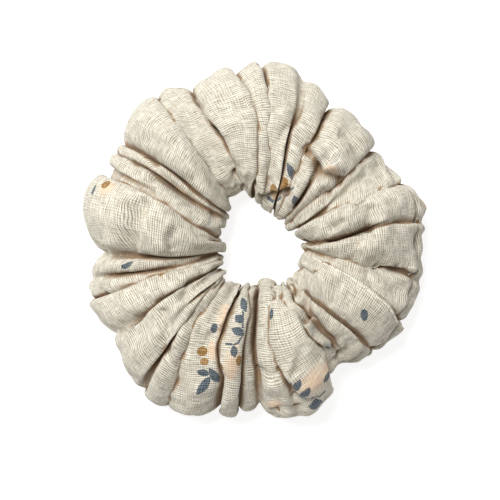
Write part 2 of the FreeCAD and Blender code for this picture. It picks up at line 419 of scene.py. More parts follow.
# Creases that run across the folds, as (angle, distance from the hole's middle) along each, with its depth
# and width. The cloth on the left of its direction is lowered, and the cloth on the right rolls over it.
CROSS_CREASES = [
    ([(38, 32.5), (44, 30.3), (49, 27.2), (54, 29.3), (60, 31.3), (66, 33.5)], 2.2, 1.4),
    ([(148, 38), (152.5, 41), (156, 38.9), (160, 37.6)], 0.7, 1.3),
    ([(204, 24), (210, 28.1), (217, 30.3), (225, 31.5), (232, 32), (236, 35.4)], 0.55, 1.6),
    ([(266, 40.5), (270, 42.5), (275, 43), (279, 41), (282, 38)], 0.8, 1.6),
    ([(159, 41), (167, 41.5), (176, 42), (184, 43.5), (188, 46)], 1.6, 2.4),
    ([(9, 20.7), (11.5, 24), (14, 27)], 1.0, 1.1),
    ([(357, 29), (3, 33.5), (10, 35.7), (18, 37.6)], 1.5, 2.2),
    ([(62, 19), (68, 17), (75, 15.3), (85, 15), (95, 15)], 1.6, 1.1),
    ([(296, 26), (299, 29), (303, 28.5), (306, 26)], 1.2, 1.1),
    ([(126, 20), (117, 17.5), (111, 20.7), (109, 24)], 1.0, 1.1),
    ([(79, 31), (78, 35), (77, 38)], 0.8, 1.2),
    ([(272, 54.5), (281, 54), (290, 54)], 0.8, 1.2),
    ([(230, 48), (226, 42), (219, 38.5), (214, 36.5)], 1.3, 1.9),
    ([(141, 46), (146, 41.5), (150, 33), (149, 28)], 0.9, 1.3),
    ([(312, 41), (308, 44), (303, 43), (300, 38)], 0.8, 1.5),
    ([(318, 30), (325, 27), (334, 28)], 0.8, 1.5),
    ([(347, 36), (344, 41), (349, 46)], 1.0, 1.6),
    ([(55, 41), (49, 43), (44, 40)], 0.8, 1.8),
    ([(108, 42), (101, 40), (95, 43)], 0.7, 1.9),
    ([(170, 27), (178, 30), (186, 29)], 0.8, 1.6),
    ([(250, 28), (243, 31), (240, 36)], 0.8, 1.4),
    ([(30, 22), (37, 26), (43, 25)], 0.9, 1.3),
    ([(290, 34), (286, 40), (281, 43)], 0.8, 1.5),
    ([(133, 41), (137, 46), (136, 50)], 0.7, 1.6),
]
CROSS = 1.9                 # what these depths are multiplied by
# The profile across one, in its widths: how far to the left its valley lies, how wide that is, how far to the
# right its roll lies, how wide that is, and how high, over the valley's depth
VALLEY_PLACE, VALLEY_WIDTH = 0.35, 1.15
ROLL_PLACE, ROLL_WIDTH, ROLL_HEIGHT = 1.3, 1.5, 0.5
TAPER = 2.2                 # how bluntly a cross crease ends
END = 0.02                  # share of its length that each end counts as inside it, so that it isn't cut off
FACING = 2.5                # they fade out where the cloth isn't seen from above, by the slope of its normal
CROSS_WAVES = (7.0, 18.0)   # wavelengths in mm of what makes them uneven
CROSS_UNEVEN = 0.15         # and its strength, over the crease's width

# Dents: (angle, distance, depth, width)
DENTS = [
    (143.5, 31.5, 1.2, 2.4), (215, 47, 1.6, 4.2), (344, 36, 1.3, 3.2), (54, 29.0, 1.0, 2.0),
    (330, 43, -0.8, 4.0), (70, 46, 0.7, 3.0), (10, 44, 0.7, 3.5), (176, 50, 0.8, 3.0), (120, 24, -0.6, 2.5),
    (197, 30, 0.7, 2.0), (248, 46, 0.7, 2.5), (33, 43, 0.6, 2.0), (121, 45, 2.6, 4.5), (121, 53, 2.2, 4.5),
    (344, 43, 1.2, 4.0), (328, 31, 1.2, 3.5), (311, 40, 1.0, 3.0),
]
BROAD_WAVES = (9.0, 24.0, 0.8)
BROAD_HEIGHT = 0.34
SMALL_WAVES = (3.0, 8.0)
SMALL_HEIGHT = 0.035


def finer_line(values, axis):
    """Twice as many values along a closed axis, on a smooth curve through them."""
    before = np.roll(values, 1, axis)
    after = np.roll(values, -1, axis)
    beyond = np.roll(values, -2, axis)
    half = (9 * (values + after) - before - beyond) / 16
    both = np.stack([values, half], axis + 1)
    shape = list(values.shape)
    shape[axis] *= 2
    return both.reshape(shape)


def ripples(random, shape, cell, shortest, longest, stretch=1.0):
    """Smooth random waves over the closed grid, between two wavelengths in mm, of unit strength. Stretch
    makes them longer round the tube than along the ring."""
    white = np.fft.rfft2(random.standard_normal(shape))
    along = np.abs(np.fft.fftfreq(shape[0], cell))[:, None]
    across = np.fft.rfftfreq(shape[1], cell)[None, :] * stretch
    frequency = np.hypot(along, across)
    band = np.exp(-(frequency * shortest) ** 2) * (1 - np.exp(-(frequency * longest) ** 2))
    waves = np.fft.irfft2(white * band, shape)
    return waves / waves.std()


def line_distance(x, y, line):
    """Distance of points from a line of points, positive on its left, and how far along it they lie."""
    best = np.full(x.shape, np.inf)
    side = np.zeros(x.shape)
    along = np.zeros(x.shape)
    count = len(line) - 1
    for index in range(count):
        ax, ay = line[index]
        dx, dy = line[index + 1] - line[index]
        t = np.clip(((x - ax) * dx + (y - ay) * dy) / (dx * dx + dy * dy), 0, 1)
        px = x - ax - t * dx
        py = y - ay - t * dy
        away = np.hypot(px, py)
        nearer = away < best
        best = np.where(nearer, away, best)
        side = np.where(nearer, np.sign(dx * py - dy * px), side)
        along = np.where(nearer, (index + t) / count, along)
    return best * side, along


def smooth_line(polar_points):
    """A curve in mm through points given as (angle, distance from the hole's middle)."""
    marks = np.array([(math.radians(a), d) for a, d in polar_points])
    line = np.stack([marks[:, 1] * np.cos(marks[:, 0]), marks[:, 1] * np.sin(marks[:, 0])], -1) + HOLE_CENTRE
    for _ in range(2):
        inner = np.concatenate([line[:-1] * 0.75 + line[1:] * 0.25, line[:-1] * 0.25 + line[1:] * 0.75], 1)
        line = np.concatenate([line[:1], inner.reshape(-1, 2), line[-1:]])
    return line


CORE_RADIUS = 33.0          # the tube's middle line, from the middle of the hole
CORE_HEIGHT = 12.0
PRESSED_FLAT = -0.6         # cloth that lies in a lower direction than this from there is flat on the table
FREE = 0.5                  # and this much higher it is free to bulge


def out_of_tube(points):
    """Unit directions from the tube's middle line to the points."""
    x, y = points[..., 0] - HOLE_CENTRE[0], points[..., 1] - HOLE_CENTRE[1]
    distance = np.hypot(x, y)
    along = distance - CORE_RADIUS
    return unit(np.stack([along * x / distance, along * y / distance, points[..., 2] - CORE_HEIGHT], -1))


def off_table(out):
    """How free the cloth is to bulge outwards, 0 to 1, by its direction out of the tube."""
    return np.clip((out[..., 2:] - PRESSED_FLAT) / FREE, 0, 1)


LAP = 1.5                   # how far a lip hangs over the crease, over the value in the table of creases
LAP_PLACE = 3.0             # the lip's edge, in mm along the cloth from the crease
LAP_END = 15.0              # and where the lip ends
LAP_RISE = 0.8              # how far the lip is lifted, over how far it hangs over
LAP_SINK = 2.0              # how far the cloth under the lip sinks, in the same way
SINK_WIDTH = 4.2            # how far from the crease that cloth sinks, in mm
SINK_END = 9.0              # and where it stops
# A lip has no room at the first distance from the hole's middle, and all its room at the second
CRAMPED, ROOMY = 12.0, 30.0
LEAST_ROOM = 0.2            # share of its size that it keeps anyway


def lap_over(points, starts, shares, cell):
    """The puffs that lean hang over the crease beside them as a rounded lip, and the cloth under it sinks."""
    x, y = points[..., 0] - HOLE_CENTRE[0], points[..., 1] - HOLE_CENTRE[1]
    distance = np.hypot(x, y)
    tangent = np.stack([-y / distance, x / distance, np.zeros(x.shape)], -1)
    out = out_of_tube(points)
    room = np.clip((distance - CRAMPED) / (ROOMY - CRAMPED), LEAST_ROOM, 1.0)
    move = np.zeros(points.shape)
    for index, (_, _, lean) in enumerate(CREASES):
        way = 1 if lean > 0 else -1
        start = starts[index] * FINER
        share = np.repeat(shares[index], FINER) ** 2
        for step in range(int(LAP_END / cell)):
            column = (start + way * step) % len(points)
            along = step * cell / LAP_PLACE
            lip = abs(lean) * LAP * along * math.exp(1 - along) * (share * room[column])[:, None]
            move[column] += (out[column] * LAP_RISE - tangent[column] * way) * lip
        for step in range(1, int(SINK_END / cell)):
            column = (start - way * step) % len(points)
            sink = abs(lean) * LAP * LAP_SINK * math.exp(-(step * cell / SINK_WIDTH) ** 2)
            move[column] -= out[column] * sink * (share * room[column])[:, None]
    points = points + move * off_table(out)
    for axis in (0, 1):
        points = (np.roll(points, 1, axis) + 4 * points + np.roll(points, -1, axis)) / 6
    return points


def crumple(points, random, cell):
    """Cross creases and dents, seen from above, and the broad and small waves of crinkled gauze."""
    shape = points.shape[:2]
    x, y = points[..., 0], points[..., 1]
    facing = np.clip(normals(points)[..., 2] * FACING, 0, 1)
    uneven = np.clip(ripples(random, shape, cell, *CROSS_WAVES), -2, 2)
    rise = np.zeros(shape)
    for marks, depth, width in CROSS_CREASES:
        away, along = line_distance(x, y, smooth_line(marks))
        taper = np.clip(np.sin(np.pi * np.clip(along, END, 1 - END)) * TAPER, 0, 1)
        away = away / width + CROSS_UNEVEN * uneven
        low = np.exp(-((away - VALLEY_PLACE) / VALLEY_WIDTH) ** 2)
        high = np.exp(-((away + ROLL_PLACE) / ROLL_WIDTH) ** 2)
        rise += CROSS * depth * taper * facing * (ROLL_HEIGHT * high - low)
    for angle, distance, depth, width in DENTS:
        turn = math.radians(angle)
        from_x = x - HOLE_CENTRE[0] - distance * math.cos(turn)
        from_y = y - HOLE_CENTRE[1] - distance * math.sin(turn)
        rise -= depth * facing * np.exp(-(from_x ** 2 + from_y ** 2) / width ** 2)
    broad = ripples(random, shape, cell, *BROAD_WAVES)
    small = ripples(random, shape, cell, *SMALL_WAVES)
    out = out_of_tube(points)
    points = points + out * off_table(out) * (rise + BROAD_HEIGHT * broad)[..., None]
    return points + normals(points) * (SMALL_HEIGHT * small)[..., None]


TUCK = 0.8                  # how far into the tube the cloth sinks where it is folded in
FOLD_SIGHT = 5.0            # mm: how far a point in a fold looks for cloth in front of it
SIGHT_START = 0.3           # mm off the cloth, where it starts to look
# The directions that it looks in: (angle off the cloth's normal, turn about it)
FOLD_RAYS = [(0, 0), (30, 0), (30, 120), (30, 240), (58, 60), (58, 132), (58, 204), (58, 276), (58, 348)]
OBLIQUE = np.array([0.31, 0.43, 0.85])      # any direction that hardly a normal has
LEAST_SHADE = 0.3           # share of the painted crease shade that is left where the cloth is pressed flat


def folded_in(points):
    """How much of what each point of the cloth faces, 0 to 1, is more cloth close by: high in the creases."""
    coarse = points[::FINER, ::FINER]
    normal = normals(coarse)
    shape = coarse.shape[:2]
    index = np.arange(shape[0] * shape[1]).reshape(shape)
    ahead = np.roll(index, -1, 0)
    quads = np.stack([index, ahead, np.roll(ahead, -1, 1), np.roll(index, -1, 1)], -1)
    tree = BVHTree.FromPolygons(coarse.reshape(-1, 3).tolist(), quads.reshape(-1, 4).tolist())
    side = unit(np.cross(normal, OBLIQUE))
    other = np.cross(normal, side)
    origins = [Vector(point) for point in (coarse + normal * SIGHT_START).reshape(-1, 3).tolist()]
    blocked = np.zeros(len(origins))
    for tilt, turn in np.radians(FOLD_RAYS):
        level = side * math.cos(turn) + other * math.sin(turn)
        rays = normal * math.cos(tilt) + level * math.sin(tilt)
        for place, ray in enumerate(rays.reshape(-1, 3).tolist()):
            gap = tree.ray_cast(origins[place], Vector(ray), FOLD_SIGHT)[3]
            if gap is not None:
                blocked[place] += 1 - gap / FOLD_SIGHT
    blocked = (blocked / len(FOLD_RAYS)).reshape(shape)
    return np.clip(finer_line(finer_line(blocked, 0), 1), 0, 1)


# The long seam, in mm: a groove, with a roll on each side of it, which pucker together
GROOVE_DEPTH, GROOVE_WIDTH = 1.2, 0.75
EDGE_HEIGHT, EDGE_PLACE, EDGE_WIDTH = 0.45, 2.3, 1.3
PUCKER, PUCKER_LENGTH = 0.2, 5.3
# The closing seam: the step up to the end that laps over, and how wide it fades out on the two sides
LAP_STEP, LAP_FADE, UNDER_FADE = 0.55, 4.0, 1.6


def sew_seams(points, closing_column, cell_u, cell_v):
    """The groove of the long seam between its two rolled edges, and the step where one end of the tube laps
    over the other at the closing seam."""
    columns = np.arange(points.shape[0])
    from_seam = (np.arange(points.shape[1]) - SEAM_ROW * FINER) * cell_v
    pucker = 1 - PUCKER + PUCKER * np.sin(columns * cell_u * 2 * np.pi / PUCKER_LENGTH)
    groove = EDGE_HEIGHT * np.exp(-((np.abs(from_seam) - EDGE_PLACE) / EDGE_WIDTH) ** 2)
    groove -= GROOVE_DEPTH * np.exp(-(from_seam / GROOVE_WIDTH) ** 2)
    half = len(columns) / 2
    from_closing = ((columns - closing_column + half) % len(columns) - half) * cell_u
    lapped = LAP_STEP * np.exp(-(from_closing / LAP_FADE) ** 2)
    under = -LAP_STEP * np.exp(-(from_closing / UNDER_FADE) ** 2)
    rise = pucker[:, None] * groove[None, :] + np.where(from_closing < 0, lapped, under)[:, None]
    return points + normals(points) * rise[..., None]


SEAM_OPEN = 0.3             # half the gap between the two turned-in edges
ALLOWANCE_STEPS = 6


def open_strip(points, cell_v):
    """The closed grid cut along the long seam, with both of its edges turned inwards as the allowance. Gives
    the points as columns of one strip, and each row's place across it, 0 to TUBE_ROUND between the seams."""
    strip = np.roll(points, -SEAM_ROW * FINER, 1)
    strip = np.concatenate([strip, strip[:, :1]], 1)
    middle = strip[:, 0].copy()
    inward = np.zeros(middle.shape)
    inward[:, :2] = unit(HOLE_CENTRE - middle[:, :2])
    apart = unit(strip[:, 1] - strip[:, -2])
    turned = ALLOWANCE * np.arange(1, ALLOWANCE_STEPS + 1) / ALLOWANCE_STEPS
    sides = []
    for sign in (1, -1):
        edge = middle + apart * (sign * SEAM_OPEN)
        sides.append(np.stack([edge + inward * depth for depth in turned], 1))
    strip[:, 0] = middle + apart * SEAM_OPEN
    strip[:, -1] = middle - apart * SEAM_OPEN
    strip = np.concatenate([sides[0][:, ::-1], strip, sides[1]], 1)
    own = np.arange(points.shape[1] + 1) * cell_v
    return strip, np.concatenate([-turned[::-1], own, own[-1] + turned])


def cloth_mesh(name, points, faces, corners):
    """A smooth mesh whose UV map holds the flat coordinates of its faces' corners, in metres. Points and
    corners are given in mm."""
    mesh = bpy.data.meshes.new(name)
    mesh.from_pydata((np.reshape(points, (-1, 3)) * MM).tolist(), [], faces)
    layer = mesh.uv_layers.new(name="Cloth")
    layer.data.foreach_set("uv", (np.array(corners) * MM).astype(np.float32).ravel())
    mesh.polygons.foreach_set("use_smooth", np.ones(len(faces), bool))
    mesh.update()
    return mesh


def strip_mesh(name, points, uv_u, uv_v):
    """The mesh of a strip that is closed along the ring and open across it."""
    across, width = points.shape[:2]
    index = np.arange(across * width).reshape(across, width)
    ahead = np.roll(index, -1, 0)
    faces = np.stack([index[:, :-1], index[:, 1:], ahead[:, 1:], ahead[:, :-1]], -1).reshape(-1, 4)
    corners = np.zeros((across, width - 1, 4, 2))
    corners[..., :2, 0] = uv_u[:-1, None, None]
    corners[..., 2:, 0] = uv_u[1:, None, None]
    corners[..., (0, 3), 1] = uv_v[:-1, None]
    corners[..., (1, 2), 1] = uv_v[1:, None]
    return cloth_mesh(name, points, faces.tolist(), corners.reshape(-1, 2))


def add_piece(name, mesh, material, slot, *nodes):
    """A piece of the model, on the one body that there is, in place of these nodes."""
    piece = bpy.data.objects.new(name, mesh)
    bpy.context.scene.collection.objects.link(piece)
    mesh.materials.append(material)
    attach(piece, "root")
    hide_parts(*nodes)
    return piece


# ---------------------------------------------------------------- the print

BLUE = (0.052, 0.084, 0.112)
OCHRE = (0.300, 0.150, 0.022)
PEACH = (0.80, 0.50, 0.29)
WHITE = (0.93, 0.90, 0.83)
LEAF, DOT, LINE = 1.0, 0.5, 0.0    # how pointed a motif's ends are

# Seen from above, in mm: (x, y, direction in degrees, length, width, ends, ink)
MOTIFS = [
    (-2.9, -20.5, 103, 5.9, 2.2, LEAF, BLUE), (-4.2, -25.1, 137, 4.2, 2.4, LEAF, BLUE),
    (-4.6, -28.9, 150, 4.8, 2.2, LEAF, BLUE), (-5.9, -35.2, 100, 3.4, 2.0, LEAF, BLUE),
    (-12.2, -28.1, 100, 2.7, 2.2, DOT, BLUE), (5.6, -23.7, 80, 2.8, 1.5, DOT, BLUE),
    (-15.8, -35.2, 0, 3.0, 2.6, DOT, OCHRE), (-15.2, -38.4, 0, 2.4, 2.2, DOT, OCHRE),
    (-10.6, -39.7, -50, 3.4, 1.9, DOT, OCHRE), (-4.3, -38.1, 90, 2.8, 2.0, DOT, OCHRE),
    (-15.4, -41.9, 165, 4.0, 2.0, LEAF, BLUE), (-12.2, -43.0, -60, 5.4, 3.0, LEAF, BLUE),
    (-15.5, -46.3, -125, 5.8, 2.5, LEAF, BLUE), (-3.8, -47.5, -103, 7.2, 1.8, LEAF, BLUE),
    (23.7, -35.0, -30, 3.4, 1.2, LEAF, BLUE), (25.3, -34.0, -70, 3.0, 1.2, LEAF, BLUE),
    (23.3, -43.5, 60, 2.7, 2.2, DOT, BLUE), (13.6, -46.4, 65, 4.5, 2.2, LEAF, BLUE),
    (16.3, -48.9, 50, 4.6, 2.5, LEAF, BLUE), (19.9, -52.4, 30, 4.7, 2.6, LEAF, BLUE),
    (13.6, -53.0, 0, 2.7, 2.1, DOT, OCHRE), (7.7, -54.0, 0, 3.4, 1.5, DOT, OCHRE),
    (12.1, 20.8, 118, 5.9, 2.9, LEAF, BLUE), (9.5, 17.0, 0, 3.2, 3.0, DOT, OCHRE),
    (6.2, 15.2, 0, 3.3, 3.0, DOT, OCHRE), (6.8, 11.8, 150, 4.0, 1.8, LEAF, BLUE),
    (13.3, 11.8, 110, 4.4, 2.5, LEAF, BLUE), (-39.6, -8.3, 30, 2.6, 2.2, DOT, BLUE),
    (34.8, -23.9, 100, 3.2, 2.4, DOT, BLUE), (-28.7, -10.5, 60, 3.0, 1.6, DOT, OCHRE),
    (-46.5, 17.2, 0, 2.8, 2.4, DOT, OCHRE), (-33.5, 25.8, 20, 1.2, 1.0, DOT, BLUE),
    (-51.0, 15.8, 80, 2.4, 1.8, DOT, BLUE),
]
OUTLINED = (25.7, 25.5, 52, 5.6, 3.4, 0.8, WHITE)
OUTLINE_INSIDE = 0.78       # the white leaf's middle is left plain, to this share of its width
STEMS = [
    [(-3.1, -22.5), (-3.2, -26.5), (-3.3, -30.0), (-4.5, -32.3), (-5.9, -33.0), (-8.4, -32.8)],
    [(11.1, -44.8), (11.7, -48.3), (14.6, -50.6), (19.3, -50.9), (22.6, -49.0)],
    [(12.9, 16.3), (11.3, 14.7), (8.8, 12.9), (7.0, 11.9), (3.9, 12.9)],
]
STEM_WIDTH = 0.6
STEM_JOIN = 0.3             # mm by which the parts of a stem run into each other
WASHES = [
    (-9.1, -26.7, 80, 15, 8, DOT, PEACH), (-6.5, -39.4, 80, 11, 6, DOT, PEACH),
    (20.6, -43.8, 40, 11, 9, DOT, PEACH), (23.9, 21.4, 0, 6, 4, DOT, PEACH), (-46, 16, 0, 6, 5, DOT, PEACH),
    (-12.8, -35, 90, 6, 4, DOT, PEACH), (7.5, -52.5, 0, 8, 5, DOT, PEACH), (9, 15, 20, 9, 6, DOT, PEACH),
]
# One sprig, in mm along the cloth: the print goes on sparsely where it isn't seen from above
SPRIG = [
    (0.0, 4.2, 90, 4.8, 2.3, LEAF, BLUE), (-2.7, 1.6, 140, 4.4, 2.2, LEAF, BLUE),
    (2.7, 0.6, 42, 4.4, 2.2, LEAF, BLUE), (-2.4, -3.0, 150, 3.8, 2.0, LEAF, BLUE),
    (3.1, -3.6, 25, 2.6, 2.4, DOT, OCHRE), (5.2, -5.6, 0, 2.8, 2.4, DOT, OCHRE),
    (0.1, 0.2, 90, 4.0, 0.5, LINE, BLUE), (0.3, -3.8, 96, 4.2, 0.5, LINE, BLUE),
    (-7.5, -1.0, 0, 2.4, 2.1, DOT, BLUE),
]
SPRIG_WASH = np.array([6.0, 2.0])
SPRIG_SPACING = 46.0
SPRIG_SHIFT = (6.0, 4.0)    # how far from its place a sprig can be, along the ring and across it
# Shares of the tube's round, from the long seam, where the sprigs lie, and how they alternate
SPRIG_ROWS = ((0.10, 0.0), (0.31, 0.5))
NOTHING = 9.0               # a place far outside any motif
PRINT_REACH = 1.6           # mm: a face this far from a motif still knows it, so that its edge can be ragged
SEEN_WITHIN = 1.2           # mm: a motif is laid on the highest face this close to its place,
DISTANCE_COST = 0.8         # but a nearer one wins over one that is higher by less than this a mm
FEW = 40                    # faces looked at where none is that close
FLATTEST = 0.05             # a slope so steep that a motif isn't stretched down it any further


class ClothMap:
    """The strip's faces, in space and in the cloth's own flat coordinates, in mm."""

    def __init__(self, mesh, length):
        count = len(mesh.polygons)
        flat = np.zeros(count * 8)
        mesh.uv_layers["Cloth"].data.foreach_get("uv", flat)
        self.corners = flat.reshape(count, 4, 2) / MM
        self.middles = self.corners.mean(1)
        places = np.zeros(len(mesh.vertices) * 3)
        mesh.vertices.foreach_get("co", places)
        order = np.zeros(count * 4, int)
        mesh.loops.foreach_get("vertex_index", order)
        self.points = places.reshape(-1, 3)[order].reshape(count, 4, 3) / MM
        self.length = length

    def wrap(self, values):
        """Distances along the ring, the short way round."""
        return (values + self.length / 2) % self.length - self.length / 2

    def under(self, x, y, direction):
        """The flat place and direction on the cloth that lie under (x, y) when seen from above."""
        centre = self.points.mean(1)
        away = np.hypot(centre[:, 0] - x, centre[:, 1] - y)
        near = np.flatnonzero(away < SEEN_WITHIN)
        if not len(near):
            near = np.argsort(away)[:FEW]
        face = near[np.argmax(centre[near, 2] - DISTANCE_COST * away[near])]
        quad = self.points[face]
        along = (quad[2] + quad[3] - quad[0] - quad[1])[:2] / 2
        across = (quad[1] + quad[2] - quad[0] - quad[3])[:2] / 2
        size = np.abs(self.corners[face, 2] - self.corners[face, 0])
        grid = np.stack([along / size[0], across / size[1]], 1)
        turn = math.radians(direction)
        way = unit(np.linalg.lstsq(grid, np.array([math.cos(turn), math.sin(turn)]), rcond=FLATTEST)[0])
        off = np.linalg.lstsq(grid, np.array([x, y]) - centre[face, :2], rcond=FLATTEST)[0]
        return self.middles[face] + np.clip(off, -1.0, 1.0), way

    def laid(self, motif, plain=0.0):
        """A motif with its place and direction on the flat cloth, and the share left plain."""
        x, y, direction, *rest = motif
        return (*self.under(x, y, direction), *rest, plain)


def print_layer(mesh, cloth_map, name, motifs):
    """For each face the motif that it is in or nearest to, stored at its corners: the place in that motif
    (along it, across it, how pointed its ends are) and the ink, whose alpha is the share left plain."""
    count = len(cloth_map.middles)
    place = np.zeros((count, 4, 3))
    place[..., 1] = NOTHING
    ink = np.zeros((count, 4, 4))
    best = np.full(count, PRINT_REACH)
    for centre, way, size, width, ends, colour, plain in motifs:
        side = np.array([-way[1], way[0]])
        offset = cloth_map.middles - centre
        offset[:, 0] = cloth_map.wrap(offset[:, 0])
        near = np.flatnonzero(np.hypot(offset[:, 0], offset[:, 1]) < size / 2 + width / 2 + 1.0)
        s = offset[near] @ way / size + 0.5
        t = offset[near] @ side / (width / 2)
        inside = np.clip(s, 0, 1)
        outline = (4 * inside * (1 - inside)) ** ends
        past_end = np.maximum(np.abs(s - 0.5) - 0.5, 0) * size
        past_side = np.maximum(np.abs(t) - outline, 0) * width / 2
        score = np.hypot(past_end, past_side)
        better = score < best[near]
        chosen = near[better]
        best[chosen] = score[better]
        corner = cloth_map.corners[chosen] - centre
        corner[..., 0] = cloth_map.wrap(corner[..., 0])
        place[chosen, :, 0] = corner @ way / size + 0.5
        place[chosen, :, 1] = corner @ side / (width / 2)
        place[chosen, :, 2] = ends
        ink[chosen, :, :3] = colour
        ink[chosen, :, 3] = plain
    places = mesh.attributes.new(name + "_place", "FLOAT_VECTOR", "CORNER")
    places.data.foreach_set("vector", place.astype(np.float32).ravel())
    inks = mesh.attributes.new(name + "_ink", "FLOAT_COLOR", "CORNER")
    inks.data.foreach_set("color", ink.astype(np.float32).ravel())


def printed_motifs(cloth_map, random):
    """The motifs seen from above, laid on the cloth under them, and sprigs where the cloth is seen from the
    sides or from below."""
    motifs = [cloth_map.laid(motif) for motif in MOTIFS]
    motifs.append(cloth_map.laid(OUTLINED, OUTLINE_INSIDE))
    for line in STEMS:
        for (ax, ay), (bx, by) in zip(line, line[1:]):
            size = math.hypot(bx - ax, by - ay) + STEM_JOIN
            direction = math.degrees(math.atan2(by - ay, bx - ax))
            part = ((ax + bx) / 2, (ay + by) / 2, direction, size, STEM_WIDTH, LINE, BLUE)
            motifs.append(cloth_map.laid(part))
    washes = [cloth_map.laid(wash) for wash in WASHES]
    steps = int(cloth_map.length // SPRIG_SPACING)
    for index in range(steps):
        for share, shift in SPRIG_ROWS:
            u = (index + shift) * cloth_map.length / steps + random.uniform(-SPRIG_SHIFT[0], SPRIG_SHIFT[0])
            v = TUBE_ROUND * share + random.uniform(-SPRIG_SHIFT[1], SPRIG_SHIFT[1])
            turn = random.uniform(0, 2 * math.pi)
            cosine, sine = math.cos(turn), math.sin(turn)
            for x, y, direction, *rest in SPRIG:
                place = np.array([u + x * cosine - y * sine, v + x * sine + y * cosine])
                angle = turn + math.radians(direction)
                motifs.append((place, np.array([math.cos(angle), math.sin(angle)]), *rest, 0.0))
            wash = (np.array([u, v]) + SPRIG_WASH, np.array([cosine, sine]), 11.0, 8.0, DOT, PEACH, 0.0)
            washes.append(wash)
    return motifs, washes


# ---------------------------------------------------------------- materials


class Nodes:
    """Short ways to add and link a material's nodes."""

    def __init__(self, name):
        self.material = bpy.data.materials.new(name)
        self.material.use_nodes = True
        self.tree = self.material.node_tree
        self.shader = self.tree.nodes["Principled BSDF"]

    def link(self, value, socket):
        """Feed a socket from another node's output, or give it a value."""
        if isinstance(value, bpy.types.NodeSocket):
            self.tree.links.new(value, socket)
        else:
            socket.default_value = value

    def add(self, kind, inputs, **settings):
        """A node of this kind with these settings, and its inputs as (name or number, value) pairs."""
        node = self.tree.nodes.new(kind)
        for name, value in settings.items():
            setattr(node, name, value)
        for socket, value in inputs:
            self.link(value, node.inputs[socket])
        return node

    def math(self, operation, a, b=0.0, clamp=False):
        inputs = ((0, a), (1, b))
        return self.add("ShaderNodeMath", inputs, operation=operation, use_clamp=clamp).outputs[0]

    def plus(self, a, b):
        return self.math("ADD", a, b)

    def minus(self, a, b, clamp=False):
        return self.math("SUBTRACT", a, b, clamp)

    def times(self, a, b):
        return self.math("MULTIPLY", a, b)

    def wave(self, value, length):
        """A sine wave of this length."""
        return self.math("SINE", self.times(value, 2 * math.pi / length))

    def ramp(self, value, low, high):
        """0 at low and 1 at high, with a soft start and end."""
        inputs = (("Value", value), ("From Min", low), ("From Max", high))
        return self.add("ShaderNodeMapRange", inputs, interpolation_type="SMOOTHSTEP").outputs["Result"]

    def mix(self, share, a, b, how="MIX"):
        """Colour b over colour a."""
        inputs = [("Factor", share)]
        for number, colour in ((6, a), (7, b)):
            inputs.append((number, colour if isinstance(colour, bpy.types.NodeSocket) else (*colour, 1)))
        return self.add("ShaderNodeMix", inputs, data_type="RGBA", blend_type=how).outputs[2]

    def cloth_place(self):
        """The cloth's flat coordinates in mm."""
        flat = self.add("ShaderNodeUVMap", (), uv_map="Cloth").outputs["UV"]
        return self.add("ShaderNodeVectorMath", ((0, flat), ("Scale", 1 / MM)), operation="SCALE").outputs[0]

    def stretched(self, place, x, y, z=0.0):
        inputs = (("Vector", place), ("Location", (0, 0, z)), ("Scale", (x, y, 1)))
        return self.add("ShaderNodeMapping", inputs).outputs[0]

    def noise(self, place, scale, detail=2.0, rough=0.5):
        inputs = (("Vector", place), ("Scale", scale), ("Detail", detail), ("Roughness", rough))
        return self.add("ShaderNodeTexNoise", inputs).outputs["Fac"]

    def attribute(self, name):
        return self.add("ShaderNodeAttribute", (), attribute_name=name).outputs

    def split(self, vector):
        return self.add("ShaderNodeSeparateXYZ", ((0, vector),)).outputs

    def finish(self, colour, roughness, bump=None, distance=0.0, strength=0.0):
        """Join the colour and the bump to the shader. The distance is in metres."""
        self.link(colour, self.shader.inputs["Base Color"])
        self.shader.inputs["Roughness"].default_value = roughness
        if bump is not None:
            inputs = (("Height", bump), ("Distance", distance), ("Strength", strength))
            self.link(self.add("ShaderNodeBump", inputs).outputs[0], self.shader.inputs["Normal"])
        return self.material


THREAD_PITCH = 0.56
THREAD_WANDER = 4.0         # mm by which the yarns stray from straight lines
SLUB = (0.28, 2.9)          # how long and how thin a slub is: its scale along the yarn and across it
CREAM_LIGHT = (0.80, 0.77, 0.67)
# Painted shade: the dark of the shadowed pores between the yarns
CREAM_PORE_SHADE = (0.21, 0.162, 0.095)
CREAM_WARM = (0.66, 0.58, 0.46)
# Painted shade: the brown that the cloth in the creases is darkened to
CREASE_PAINTED_SHADE = (0.23, 0.118, 0.033)


def threads_height(nodes, place):
    """The height of an open plain weave, about 0 to 1, with its slubs: thick places that run along a yarn."""
    x, y, _ = nodes.split(place)
    wander = nodes.times(nodes.noise(place, 0.06, 2.0), THREAD_WANDER)
    weft = nodes.wave(nodes.plus(y, wander), THREAD_PITCH)
    warp = nodes.wave(nodes.plus(x, wander), THREAD_PITCH)
    weft_slub = nodes.noise(nodes.stretched(place, SLUB[0], SLUB[1]), 1.0, 2.5, 0.6)
    warp_slub = nodes.noise(nodes.stretched(place, SLUB[1], SLUB[0], 31.0), 1.0, 2.5, 0.6)
    regular = nodes.plus(nodes.times(weft, 0.15), nodes.times(warp, 0.07))
    slubs = nodes.plus(nodes.times(weft_slub, 0.95), nodes.times(warp_slub, 0.55))
    return nodes.plus(regular, nodes.minus(slubs, 0.28))


